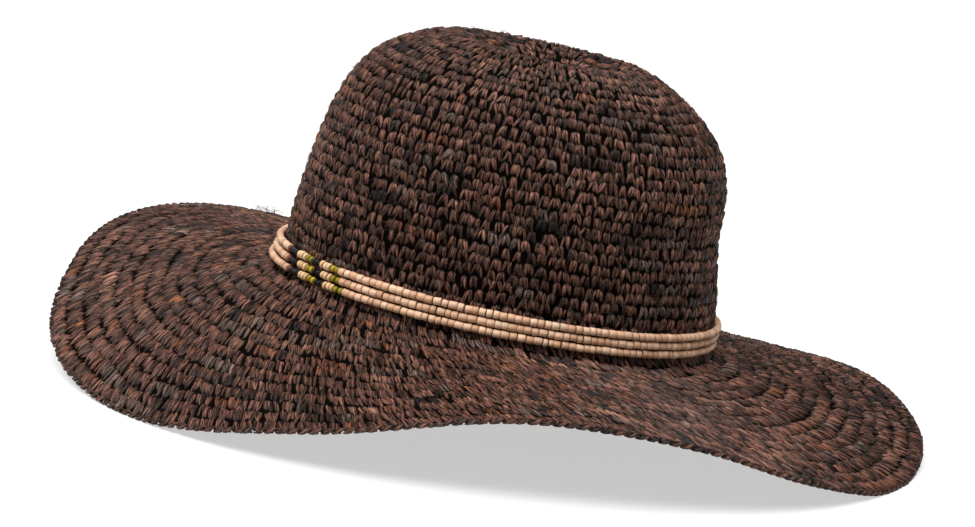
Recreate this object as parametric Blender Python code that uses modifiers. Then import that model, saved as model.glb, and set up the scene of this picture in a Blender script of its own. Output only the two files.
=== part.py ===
"""A wide-brimmed sun hat crocheted in raffia, with a hatband of three bead strings.

Metres, +Z up. The hat stands by itself on its brim: the low folds of the brim touch z = 0, and the
origin lies on that surface under the middle of the crown's base. X runs along the head opening's
long side and Y along its short side. The crown and the brim are worked in one, so they are one
solid: the tip is dented, and the brim waves up and down between its resting folds.
"""

import math
from collections import namedtuple

import bmesh
import bpy
import numpy as np

# Head opening, inside the crown's base, and the crocheted wall.
HEAD_LENGTH = 0.203
HEAD_WIDTH = 0.169
FABRIC = 0.003

# Crown: height of its rim above its base, and its lean towards +X.
CROWN_HEIGHT = 0.1245
CROWN_LEAN = math.radians(5)

# Brim: reach in plan beyond the head opening, height of the crown's base over the surface, height
# of the highest fold of the edge, the radius of the corner between crown and brim, and how late
# along its reach the brim bends (1 is straight).
BRIM_REACH = 0.1045
SEAT_HEIGHT = 0.042
WAVE_HEIGHT = 0.0523
CORNER_RADIUS = 0.008
BRIM_BEND = 1.25

# Depth by which the low folds of the edge are flattened against the surface.
EDGE_FLAT = 0.0012

# Hatband: bead strings, one above the other, laid round the foot of the crown. The lowest runs
# BAND_RISE over the crown's base at the -X end and BAND_TILT more at the +X end, and the strings
# stand SPREAD_GAP further apart round the plan angle SPREAD_ANGLE.
STRAND_NAMES = ("bead_strand_lower", "bead_strand_middle", "bead_strand_upper")
BEAD_DIAMETER = 0.0036
STRAND_GAP = 0.0004
STRAND_CLEARANCE = 0.0004
BAND_RISE = 0.0055
BAND_TILT = 0.0035
SPREAD_GAP = 0.0003
SPREAD_ANGLE = math.radians(-165)

# Mesh fineness.
SEGMENTS = 60
CROWN_RINGS = 17
CORNER_RINGS = 3
BRIM_RINGS = 13
STRAND_POINTS = 66
STRAND_BEVEL_SEGMENTS = 2

# Sections of the crown from the middle of the dented tip down to the base. height is a share of
# CROWN_HEIGHT; minus_x, plus_x and sides are shares of the base oval's half-lengths.
Section = namedtuple("Section", "height minus_x plus_x sides")
CROWN_SECTIONS = (
    Section(0.90, 0.00, 0.00, 0.00),
    Section(0.93, 0.18, 0.16, 0.16),
    Section(0.985, 0.34, 0.31, 0.32),
    Section(1.00, 0.48, 0.42, 0.46),
    Section(0.96, 0.63, 0.545, 0.60),
    Section(0.88, 0.775, 0.70, 0.72),
    Section(0.78, 0.86, 0.82, 0.81),
    Section(0.65, 0.92, 0.885, 0.88),
    Section(0.45, 0.965, 0.905, 0.93),
    Section(0.25, 0.995, 0.95, 0.965),
    Section(0.15, 1.00, 0.968, 0.972),
    Section(0.06, 1.015, 0.965, 0.98),
    Section(0.00, 1.04, 1.00, 1.01),
)

# Folds of the brim's edge, anticlockwise seen from above, from the -X end round by -Y. angle is in
# degrees in plan, and height is a share of WAVE_HEIGHT over the surface.
Fold = namedtuple("Fold", "angle height")
BRIM_FOLDS = (
    Fold(-180, 0.43),
    Fold(-165, 0.21),
    Fold(-137, 0.00),
    Fold(-110, 0.30),
    Fold(-84, 0.67),
    Fold(-65, 0.56),
    Fold(-45, 0.21),
    Fold(-27, 0.00),
    Fold(2, 0.17),
    Fold(28, 0.34),
    Fold(48, 0.25),
    Fold(90, 0.00),
    Fold(122, 0.82),
    Fold(145, 1.00),
    Fold(164, 0.84),
)

HALF_LENGTH = (HEAD_LENGTH + FABRIC) / 2
HALF_WIDTH = (HEAD_WIDTH + FABRIC) / 2
STRAND_PITCH = BEAD_DIAMETER + STRAND_GAP
OUTER_FACE = FABRIC / 2
LOWER_WALL = np.linspace(1, 0.5, 101)


def smooth_through(knots, values, at):
    """Values at the places `at` on a smooth curve through (knots, values): cubic Hermite spans."""
    knots = np.asarray(knots, float)
    values = np.asarray(values, float)
    slopes = np.gradient(values, knots)
    at = np.clip(at, knots[0], knots[-1])
    i = np.clip(np.searchsorted(knots, at, side="right") - 1, 0, len(knots) - 2)
    span = knots[i + 1] - knots[i]
    s = (at - knots[i]) / span
    return (
        (2 * s**3 - 3 * s**2 + 1) * values[i]
        + (s**3 - 2 * s**2 + s) * span * slopes[i]
        + (3 * s**2 - 2 * s**3) * values[i + 1]
        + (s**3 - s**2) * span * slopes[i + 1]
    )


def edge_height(angle):
    """Height of the brim's edge over the surface at a plan angle in radians."""
    turns = [fold.angle + turn for turn in (-360, 0, 360) for fold in BRIM_FOLDS]
    shares = [fold.height for fold in BRIM_FOLDS] * 3
    wrapped = (np.degrees(angle) + 180) % 360 - 180
    return np.maximum(smooth_through(turns, shares, wrapped), 0) * WAVE_HEIGHT


def leaned(x, y, z):
    """A point of the upright crown, leaned towards +X and set at its height over the surface."""
    return np.stack(
        [
            x * math.cos(CROWN_LEAN) + z * math.sin(CROWN_LEAN),
            y,
            z * math.cos(CROWN_LEAN) - x * math.sin(CROWN_LEAN) + SEAT_HEIGHT,
        ],
        axis=-1,
    )


def section_places():
    """How far along the crown's profile each section lies, as a share, by the drawn distance."""
    sides = np.array([s.sides for s in CROWN_SECTIONS]) * HALF_WIDTH
    heights = np.array([s.height for s in CROWN_SECTIONS]) * CROWN_HEIGHT
    steps = np.hypot(np.diff(sides), np.diff(heights))
    return np.concatenate([[0], np.cumsum(steps)]) / steps.sum()


def crown_point(along, angle):
    """A point on the middle of the crown's wall. along runs from 0 at the tip to 1 at the base."""
    places = section_places()
    height, minus_x, plus_x, sides = (
        smooth_through(places, [getattr(s, name) for s in CROWN_SECTIONS], along)
        for name in Section._fields
    )
    cosine, sine = np.cos(angle), np.sin(angle)
    share_x = (plus_x + minus_x) / 2 * cosine + (plus_x - minus_x) / 2 * cosine**2
    x = HALF_LENGTH * share_x
    y = HALF_WIDTH * sides * sine
    z = CROWN_HEIGHT * height
    return leaned(x, y, z)


def edge_point(angle):
    """A point on the middle of the brim's outer edge."""
    x = (HALF_LENGTH + BRIM_REACH) * np.cos(angle)
    y = (HALF_WIDTH + BRIM_REACH) * np.sin(angle)
    z = edge_height(angle) + OUTER_FACE - EDGE_FLAT
    return np.stack([x, y, z], axis=-1)


def brim_point(out, angle):
    """A point on the middle of the brim's wall. out runs from 0 at the crown to 1 at the edge."""
    base = crown_point(1.0, angle)
    edge = edge_point(angle)
    bend = np.stack([out, out, out**BRIM_BEND], axis=-1)
    return base + (edge - base) * bend


def distance_along(line):
    """The distance along a row of points from its first one, at each point."""
    return np.concatenate([[0], np.cumsum(np.linalg.norm(np.diff(line, axis=0), axis=1))])


def corner_place():
    """Where along the crown's profile the rounded corner to the brim begins, taken at the side."""
    wall = crown_point(LOWER_WALL, np.full_like(LOWER_WALL, math.pi / 2))
    return np.interp(CORNER_RADIUS, distance_along(wall), LOWER_WALL)


def corner_point(share, angle):
    """A point on the rounded corner: a quadratic curve from the crown's wall to the brim."""
    wall = crown_point(corner_place(), angle)
    corner = crown_point(1.0, angle)
    brim = brim_point(np.full_like(angle, CORNER_RADIUS / BRIM_REACH), angle)
    s = np.asarray(share)[..., None]
    return (1 - s) ** 2 * wall + 2 * s * (1 - s) * corner + s**2 * brim


def ring(point, place, angles):
    """One closed row of points of a surface at the given place along its profile."""
    return point(np.full_like(angles, place), angles)


def profile_rings(angles):
    """Rows of points from just off the tip, down the crown and out to the brim's edge."""
    crown = np.linspace(0, corner_place(), CROWN_RINGS + 1)[1:]
    corner = np.linspace(0, 1, CORNER_RINGS + 2)[1:-1]
    brim = np.linspace(CORNER_RADIUS / BRIM_REACH, 1, BRIM_RINGS + 1)
    rows = [ring(crown_point, place, angles) for place in crown]
    rows += [ring(corner_point, place, angles) for place in corner]
    rows += [ring(brim_point, place, angles) for place in brim]
    return rows


def linked_object(name, data, collection, material):
    """An object of the mesh or curve, in the collection and with the material."""
    obj = bpy.data.objects.new(name, data)
    data.materials.append(material)
    collection.objects.link(obj)
    return obj


def surface_material(name, colour, roughness):
    """A Principled material with a plain colour."""
    material = bpy.data.materials.new(name)
    material.use_nodes = True
    shader = material.node_tree.nodes["Principled BSDF"]
    shader.inputs["Base Color"].default_value = (*colour, 1)
    shader.inputs["Roughness"].default_value = roughness
    shader.inputs["Metallic"].default_value = 0
    material.diffuse_color = (*colour, 1)
    return material


def floor_cutter(collection):
    """A slab under z = 0 that flattens the folds which rest on the surface."""
    depth = SEAT_HEIGHT
    reach = 2 * (HALF_LENGTH + BRIM_REACH + SEAT_HEIGHT)
    bpy.ops.mesh.primitive_cube_add(
        size=1, location=(0, 0, -depth / 2), scale=(reach, reach, depth)
    )
    slab = bpy.context.object
    slab.name = "resting_surface"
    for holder in slab.users_collection:
        holder.objects.unlink(slab)
    collection.objects.link(slab)
    slab.hide_render = True
    slab.display_type = "WIRE"
    return slab


def crochet_body(collection, cutters, material):
    """The crown and brim as one open surface through the profile's rows, thickened to the fabric."""
    angles = np.linspace(-math.pi, math.pi, SEGMENTS, endpoint=False)
    rows = profile_rings(angles)
    shell = bmesh.new()
    tip = shell.verts.new(ring(crown_point, 0, angles)[0])
    loops = [[shell.verts.new(point) for point in row] for row in rows]
    for i in range(SEGMENTS):
        j = (i + 1) % SEGMENTS
        shell.faces.new((tip, loops[0][i], loops[0][j]))
        for upper, lower in zip(loops, loops[1:]):
            shell.faces.new((upper[i], lower[i], lower[j], upper[j]))
    mesh = bpy.data.meshes.new("crochet_body")
    shell.to_mesh(mesh)
    shell.free()
    mesh.shade_smooth()
    body = linked_object("crochet_body", mesh, collection, material)
    wall = body.modifiers.new("fabric", "SOLIDIFY")
    wall.thickness = FABRIC
    wall.offset = 0
    wall.use_even_offset = True
    cut = body.modifiers.new("rest", "BOOLEAN")
    cut.operation = "DIFFERENCE"
    cut.object = floor_cutter(cutters)
    return body


def band_line(angle):
    """Where the middle of a bead string may lie at one plan angle: points from the corner up the
    wall, clear of the fabric, and how far up the wall each one is."""
    turn = 1e-4
    wall = crown_point(LOWER_WALL, np.full_like(LOWER_WALL, angle))
    aside = crown_point(LOWER_WALL, np.full_like(LOWER_WALL, angle + turn)) - wall
    outward = np.cross(aside, np.gradient(wall, axis=0))
    outward /= np.linalg.norm(outward, axis=1)[:, None]
    climb = distance_along(wall)
    corner = CORNER_RADIUS * np.maximum(1 - np.sqrt(climb / CORNER_RADIUS), 0) ** 2
    clear = OUTER_FACE + STRAND_CLEARANCE + BEAD_DIAMETER / 2 + corner
    return wall + outward * clear[:, None], climb


def strand_path(level):
    """The closed line that one string of beads follows round the foot of the crown."""
    path = []
    for angle in np.linspace(-math.pi, math.pi, STRAND_POINTS, endpoint=False):
        line, climb = band_line(angle)
        reach = distance_along(line)
        rise = BAND_RISE + BAND_TILT * (1 + math.cos(angle)) / 2
        spread = SPREAD_GAP * ((1 + math.cos(angle - SPREAD_ANGLE)) / 2) ** 4
        place = np.interp(rise, climb, reach) + level * (STRAND_PITCH + spread)
        path.append([np.interp(place, reach, axis) for axis in line.T])
    return path


def bead_strand(name, level, collection, material):
    """One whole loop of the hatband as a round tube of the beads' diameter."""
    curve = bpy.data.curves.new(name, "CURVE")
    curve.dimensions = "3D"
    curve.bevel_depth = BEAD_DIAMETER / 2
    curve.bevel_resolution = STRAND_BEVEL_SEGMENTS
    path = strand_path(level)
    spline = curve.splines.new("POLY")
    spline.points.add(len(path) - 1)
    for point, place in zip(spline.points, path):
        point.co = (*place, 1)
    spline.use_cyclic_u = True
    spline.use_smooth = True
    return linked_object(name, curve, collection, material)


def new_collection(name):
    """A collection linked to the scene."""
    collection = bpy.data.collections.new(name)
    bpy.context.scene.collection.children.link(collection)
    return collection


def main():
    """Clears the scene and builds the hat's pieces."""
    for obj in list(bpy.data.objects):
        bpy.data.objects.remove(obj)
    hat = new_collection("sun_hat")
    cutters = new_collection("cutters")
    raffia = surface_material("raffia", (0.085, 0.042, 0.028), 0.62)
    beads = surface_material("bead_wood", (0.58, 0.36, 0.22), 0.5)
    crochet_body(hat, cutters, raffia)
    for level, name in enumerate(STRAND_NAMES):
        bead_strand(name, level, hat, beads)


main()
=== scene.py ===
"""The looks of a crocheted raffia sun hat: real stitches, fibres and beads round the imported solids.

The hat's body is worked as the real one is: rounds of stitches from the middle of the tip down the
crown and out over the brim, a corded edge round, and loose fibres. The hatband is three strings of
beads on threads. All of it lies on one surface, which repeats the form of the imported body.
"""

import logging
import math
from dataclasses import dataclass, field, fields
from enum import Enum
from typing import Callable, NamedTuple, Sequence

import bpy
import numpy as np
from mathutils import Matrix, Vector


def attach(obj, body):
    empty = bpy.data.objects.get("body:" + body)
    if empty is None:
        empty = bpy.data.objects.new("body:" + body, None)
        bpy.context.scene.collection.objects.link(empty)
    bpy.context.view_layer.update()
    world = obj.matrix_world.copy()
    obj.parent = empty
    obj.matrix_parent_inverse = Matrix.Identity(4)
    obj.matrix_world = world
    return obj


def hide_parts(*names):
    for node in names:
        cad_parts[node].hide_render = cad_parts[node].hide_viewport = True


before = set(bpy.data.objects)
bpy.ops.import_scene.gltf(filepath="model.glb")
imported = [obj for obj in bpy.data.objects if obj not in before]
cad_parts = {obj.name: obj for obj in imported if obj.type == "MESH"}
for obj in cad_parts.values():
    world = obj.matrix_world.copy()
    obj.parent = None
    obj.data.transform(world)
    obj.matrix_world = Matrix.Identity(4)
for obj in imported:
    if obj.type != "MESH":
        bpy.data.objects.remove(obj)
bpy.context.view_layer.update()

log = logging.getLogger("sun_hat")
MM = 0.001
TURN = 2 * math.pi


def linear(hex_colour: str) -> np.ndarray:
    """Turns an sRGB hex colour to linear light.

    Args:
        hex_colour: six hex digits.

    Returns:
        Red, green and blue in linear light.
    """
    srgb = np.array([int(hex_colour[i : i + 2], 16) for i in (0, 2, 4)]) / 255
    return np.where(srgb <= 0.04045, srgb / 12.92, ((srgb + 0.055) / 1.055) ** 2.4)


def rgba(hex_colour: str) -> tuple[float, float, float, float]:
    """An sRGB hex colour as a linear colour with full alpha."""
    return (*linear(hex_colour), 1.0)


def set_inputs(tree: bpy.types.NodeTree, node: bpy.types.Node, inputs: dict) -> None:
    """Sets a node's inputs, or links them.

    Args:
        tree: the node tree.
        node: the node.
        inputs: socket name or number to a value, or to the socket that is linked to it.
    """
    for key, value in inputs.items():
        if isinstance(value, bpy.types.NodeSocket):
            tree.links.new(value, node.inputs[key])
        else:
            node.inputs[key].default_value = value


def add_node(tree: bpy.types.NodeTree, kind: str, settings: dict, inputs: dict) -> bpy.types.Node:
    """Adds a node with its settings and inputs.

    Args:
        tree: the node tree.
        kind: the node's type name.
        settings: the node's own properties.
        inputs: what set_inputs takes.

    Returns:
        The new node.
    """
    new = tree.nodes.new(kind)
    for name, value in settings.items():
        setattr(new, name, value)
    set_inputs(tree, new, inputs)
    return new


def finished(name: str, shader_inputs: Callable[[bpy.types.NodeTree], dict]) -> bpy.types.Material:
    """Makes a material.

    Args:
        name: the material's name.
        shader_inputs: adds what nodes it needs to a tree and gives the Principled shader's inputs.

    Returns:
        The material.
    """
    material = bpy.data.materials.new(name)
    material.use_nodes = True
    tree = material.node_tree
    set_inputs(tree, tree.nodes["Principled BSDF"], shader_inputs(tree))
    return material


def object_noise(tree: bpy.types.NodeTree, grain: float, detail: float) -> bpy.types.NodeSocket:
    """Adds noise in the object's own space.

    Args:
        tree: the node tree.
        grain: the size of a grain in metres.
        detail: how many finer layers it has.

    Returns:
        The noise, from 0 to 1.
    """
    place = add_node(tree, "ShaderNodeTexCoord", {}, {})
    inputs = {"Vector": place.outputs["Object"], "Scale": 1 / grain, "Detail": detail}
    return add_node(tree, "ShaderNodeTexNoise", {}, inputs).outputs["Fac"]


def relief(
    tree: bpy.types.NodeTree, height: bpy.types.NodeSocket, depth: float, strength: float = 1.0
) -> bpy.types.NodeSocket:
    """Adds a relief.

    Args:
        tree: the node tree.
        height: the relief's height, from 0 to 1.
        depth: how deep it is in metres.
        strength: the share of it that shows.

    Returns:
        The surface's direction.
    """
    inputs = {"Strength": strength, "Distance": depth, "Height": height}
    return add_node(tree, "ShaderNodeBump", {}, inputs).outputs[0]


def shade_from(
    tree: bpy.types.NodeTree,
    value: bpy.types.NodeSocket,
    ends: tuple[float, float],
    shades: tuple[float, float],
) -> bpy.types.NodeSocket:
    """Adds a brightness that goes from one shade to another.

    Args:
        tree: the node tree.
        value: what it follows.
        ends: the values at which it starts and ends.
        shades: the brightness there.

    Returns:
        The brightness.
    """
    names = ("From Min", "From Max", "To Min", "To Max")
    inputs = {"Value": value, **dict(zip(names, ends + shades))}
    return add_node(tree, "ShaderNodeMapRange", {}, inputs).outputs["Result"]


def tinted(
    tree: bpy.types.NodeTree, attribute: str, shade: bpy.types.NodeSocket
) -> bpy.types.NodeSocket:
    """Adds a stored colour times a brightness.

    Args:
        tree: the node tree.
        attribute: the stored colour's name.
        shade: the brightness.

    Returns:
        The colour.
    """
    colour = add_node(tree, "ShaderNodeAttribute", {"attribute_name": attribute}, {})
    inputs = {0: colour.outputs["Color"], "Scale": shade}
    return add_node(tree, "ShaderNodeVectorMath", {"operation": "SCALE"}, inputs).outputs[0]


@dataclass(frozen=True)
class DyedRaffia:
    """Raffia palm leaf, split, dyed brown and crocheted: flat fibres with a dull satin gloss.

    Each strand shows fine lengthwise streaks, partly the fibres' own tone and partly painted light: a
    painted highlight where a fibre stands up, and painted shade, almost black, in the slits between
    the fibres.
    """

    name: str = "dyed_raffia_crocheted"
    roughness: float = 0.38
    ior: float = 1.50
    specular: float = 0.22
    streaks_round: float = 9.0
    streaks_along: float = 1.0
    streak_depth: float = 1.1 * MM
    streak_tone_and_slit_shade: float = 0.14
    streak_tone_and_highlight: float = 1.9

    def material(self) -> bpy.types.Material:
        """The strand's colour and painted shade from its attribute, streaked along its own UV map."""

        def inputs(tree: bpy.types.NodeTree) -> dict:
            strand = add_node(tree, "ShaderNodeUVMap", {"uv_map": "strand"}, {})
            scale = (self.streaks_round, self.streaks_along, 1)
            place = {"Vector": strand.outputs["UV"], "Scale": scale}
            stretched = add_node(tree, "ShaderNodeMapping", {}, place)
            noise = {"Vector": stretched.outputs[0], "Scale": 1.0, "Detail": 3.0, "Roughness": 0.6}
            streaks = add_node(tree, "ShaderNodeTexNoise", {"noise_dimensions": "2D"}, noise)
            streak = streaks.outputs["Fac"]
            # Fibre tone with painted light: painted shade in the slits, a painted highlight on raised
            # fibres.
            shade = shade_from(tree, streak, (0.45, 0.55), (self.streak_tone_and_slit_shade, self.streak_tone_and_highlight))
            return {
                "Base Color": tinted(tree, "fibre", shade),
                "Normal": relief(tree, streak, self.streak_depth),
                "Roughness": self.roughness,
                "IOR": self.ior,
                "Specular IOR Level": self.specular,
            }

        return finished(self.name, inputs)


@dataclass(frozen=True)
class RaffiaCore:
    """The inside of the crocheted wall: packed raffia, rough, painted almost black as shadow."""

    name: str = "raffia_core_painted_shadow"
    # Painted shadow: almost black, far darker than the dyed raffia itself.
    colour: str = "050302"
    roughness: float = 0.95
    grain: float = 1.6 * MM
    grain_depth: float = 0.3 * MM

    def material(self) -> bpy.types.Material:
        """A wall painted almost black as shadow, with a coarse fibre grain as bump."""
        return finished(
            self.name,
            lambda tree: {
                "Base Color": rgba(self.colour),
                "Normal": relief(tree, object_noise(tree, self.grain, 2.0), self.grain_depth),
                "Roughness": self.roughness,
                "Specular IOR Level": 0.03,
            },
        )


@dataclass(frozen=True)
class SandedWood:
    """Pale hardwood beads, turned, drilled and tumble sanded, unvarnished: matt, with fine grain."""

    name: str = "sanded_wood_turned"
    roughness: float = 0.55
    ior: float = 1.5
    grain: float = 0.5 * MM
    grain_depth: float = 0.05 * MM

    def material(self) -> bpy.types.Material:
        """The bead's colour from its attribute, with a fine grain in shade and in bump."""

        def inputs(tree: bpy.types.NodeTree) -> dict:
            grain = object_noise(tree, self.grain, 3.0)
            shade = shade_from(tree, grain, (0.3, 0.7), (0.86, 1.1))
            return {
                "Base Color": tinted(tree, "bead", shade),
                "Normal": relief(tree, grain, self.grain_depth),
                "Roughness": self.roughness,
                "IOR": self.ior,
            }

        return finished(self.name, inputs)


@dataclass(frozen=True)
class SeedGlass:
    """Small opaque glass beads, drawn and tumbled: a smooth surface with a soft highlight."""

    name: str = "seed_glass_tumbled"
    roughness: float = 0.34
    ior: float = 1.45
    specular: float = 0.3

    def material(self) -> bpy.types.Material:
        """The bead's own colour under a smooth face."""

        def inputs(tree: bpy.types.NodeTree) -> dict:
            colour = add_node(tree, "ShaderNodeAttribute", {"attribute_name": "bead"}, {})
            return {
                "Base Color": colour.outputs["Color"],
                "Roughness": self.roughness,
                "IOR": self.ior,
                "Specular IOR Level": self.specular,
            }

        return finished(self.name, inputs)


@dataclass(frozen=True)
class WaxedCotton:
    """Thin waxed cotton cord, twisted: dark brown and dull."""

    name: str = "waxed_cotton_twisted"
    colour: str = "2a1a12"
    roughness: float = 0.6
    twist_depth: float = 0.1 * MM
    twist_strength: float = 0.6

    def material(self) -> bpy.types.Material:
        """A dark cord with its twist as bump along the cord's own UV map."""

        def inputs(tree: bpy.types.NodeTree) -> dict:
            along = add_node(tree, "ShaderNodeUVMap", {"uv_map": "strand"}, {})
            waves = {"Vector": along.outputs["UV"], "Scale": 2.0}
            twist = add_node(tree, "ShaderNodeTexWave", {"bands_direction": "DIAGONAL"}, waves)
            return {
                "Base Color": rgba(self.colour),
                "Normal": relief(tree, twist.outputs["Fac"], self.twist_depth, self.twist_strength),
                "Roughness": self.roughness,
            }

        return finished(self.name, inputs)


@dataclass(frozen=True)
class StudioFloor:
    """White acrylic studio table, softly lit from below: even, matt and almost without shadow."""

    name: str = "studio_floor_acrylic"
    colour: str = "a6a6a6"
    roughness: float = 0.9
    glow: float = 0.55

    def material(self) -> bpy.types.Material:
        """A plain pale floor."""
        return finished(
            self.name,
            lambda tree: {
                "Base Color": rgba(self.colour),
                "Roughness": self.roughness,
                "Specular IOR Level": 0.2,
                "Emission Color": rgba("ffffff"),
                "Emission Strength": self.glow,
            },
        )


def add_object(name: str, data: bpy.types.ID) -> bpy.types.Object:
    """Puts a mesh, light or camera into the scene.

    Args:
        name: the object's name.
        data: what it shows.

    Returns:
        The object.
    """
    obj = bpy.data.objects.new(name, data)
    bpy.context.scene.collection.objects.link(obj)
    return obj


def mesh_piece(
    name: str,
    points: np.ndarray,
    face_sets: Sequence[np.ndarray],
    finish: bpy.types.Material,
    body: str = "root",
) -> bpy.types.Object:
    """Makes a smooth-shaded mesh object from whole arrays and lets it ride on a body.

    Args:
        name: the piece's name.
        points: vertex places, one row each.
        face_sets: arrays of faces, each with as many columns as its faces have corners.
        finish: the material.
        body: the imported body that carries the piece.

    Returns:
        The new object.
    """
    mesh = bpy.data.meshes.new(name)
    mesh.vertices.add(len(points))
    mesh.vertices.foreach_set("co", np.asarray(points, np.float32).ravel())
    corners = np.concatenate([faces.ravel() for faces in face_sets])
    sizes = np.concatenate([np.full(len(faces), faces.shape[1]) for faces in face_sets])
    mesh.loops.add(len(corners))
    mesh.loops.foreach_set("vertex_index", corners.astype(np.int32))
    mesh.polygons.add(len(sizes))
    starts = np.concatenate([[0], np.cumsum(sizes)[:-1]])
    mesh.polygons.foreach_set("loop_start", starts.astype(np.int32))
    mesh.update(calc_edges=True)
    mesh.shade_smooth()
    mesh.materials.append(finish)
    obj = add_object(name, mesh)
    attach(obj, body)
    log.info("%s: %d triangles", name, int((sizes - 2).sum()))
    return obj


def paint_points(obj: bpy.types.Object, attribute: str, colours: np.ndarray) -> None:
    """Stores a linear colour for each vertex.

    Args:
        obj: the mesh object.
        attribute: the attribute's name.
        colours: red, green and blue, one row for each vertex.
    """
    layer = obj.data.color_attributes.new(attribute, "FLOAT_COLOR", "POINT")
    full = np.concatenate([colours, np.ones((len(colours), 1))], axis=1)
    layer.data.foreach_set("color", full.astype(np.float32).ravel())


def store_uv(obj: bpy.types.Object, name: str, corners: np.ndarray) -> None:
    """Stores a UV map.

    Args:
        obj: the mesh object.
        name: the map's name.
        corners: one row of two numbers for each face corner.
    """
    layer = obj.data.uv_layers.new(name=name)
    layer.uv.foreach_set("vector", np.asarray(corners, np.float32).ravel())


def ring_quads(first: np.ndarray, second: np.ndarray) -> np.ndarray:
    """Faces between matching closed rings of vertices.

    Args:
        first: vertex numbers, with the way round a ring as the last axis.
        second: the numbers of the rings that follow them.

    Returns:
        Four vertex numbers for each face.
    """
    around = [first, second, np.roll(second, -1, axis=-1), np.roll(first, -1, axis=-1)]
    return np.stack(around, axis=-1).reshape(-1, 4)


def smooth_through(knots: Sequence[float], values: Sequence[float], at: np.ndarray) -> np.ndarray:
    """Reads a smooth curve through (knots, values) made of cubic Hermite spans.

    Args:
        knots: rising places.
        values: the values there.
        at: the places to read.

    Returns:
        The curve's values, in the shape of at.
    """
    knots = np.asarray(knots, float)
    values = np.asarray(values, float)
    slopes = np.gradient(values, knots)
    at = np.clip(at, knots[0], knots[-1])
    i = np.clip(np.searchsorted(knots, at, side="right") - 1, 0, len(knots) - 2)
    span = knots[i + 1] - knots[i]
    s = (at - knots[i]) / span
    return (
        (2 * s**3 - 3 * s**2 + 1) * values[i]
        + (s**3 - 2 * s**2 + s) * span * slopes[i]
        + (3 * s**2 - 2 * s**3) * values[i + 1]
        + (s**3 - s**2) * span * slopes[i + 1]
    )


def normalised(vectors: np.ndarray) -> np.ndarray:
    """Vectors scaled to length one."""
    return vectors / np.maximum(np.linalg.norm(vectors, axis=-1, keepdims=True), 1e-12)


def run_length(line: np.ndarray) -> np.ndarray:
    """The distance along a row of points from its first one, at each point."""
    return np.concatenate([[0], np.cumsum(np.linalg.norm(np.diff(line, axis=0), axis=1))])


class Section(NamedTuple):
    """A row of the crown's table: height is a share of the crown's height, and the others are
    shares of the base oval's half-lengths."""

    height: float
    minus_x: float
    plus_x: float
    sides: float


class Fold(NamedTuple):
    """A row of the brim's table: plan angle in degrees, and height as a share of the highest
    fold's."""

    angle: float
    height: float


CROWN_SECTIONS = (
    Section(0.90, 0.00, 0.00, 0.00),
    Section(0.93, 0.18, 0.16, 0.16),
    Section(0.985, 0.34, 0.31, 0.32),
    Section(1.00, 0.48, 0.42, 0.46),
    Section(0.96, 0.63, 0.545, 0.60),
    Section(0.88, 0.775, 0.70, 0.72),
    Section(0.78, 0.86, 0.82, 0.81),
    Section(0.65, 0.92, 0.885, 0.88),
    Section(0.45, 0.965, 0.905, 0.93),
    Section(0.25, 0.995, 0.95, 0.965),
    Section(0.15, 1.00, 0.968, 0.972),
    Section(0.06, 1.015, 0.965, 0.98),
    Section(0.00, 1.04, 1.00, 1.01),
)

BRIM_FOLDS = (
    Fold(-180, 0.43),
    Fold(-165, 0.21),
    Fold(-137, 0.00),
    Fold(-110, 0.30),
    Fold(-84, 0.67),
    Fold(-65, 0.56),
    Fold(-45, 0.21),
    Fold(-27, 0.00),
    Fold(2, 0.17),
    Fold(28, 0.34),
    Fold(48, 0.25),
    Fold(90, 0.00),
    Fold(122, 0.82),
    Fold(145, 1.00),
    Fold(164, 0.84),
)


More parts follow.
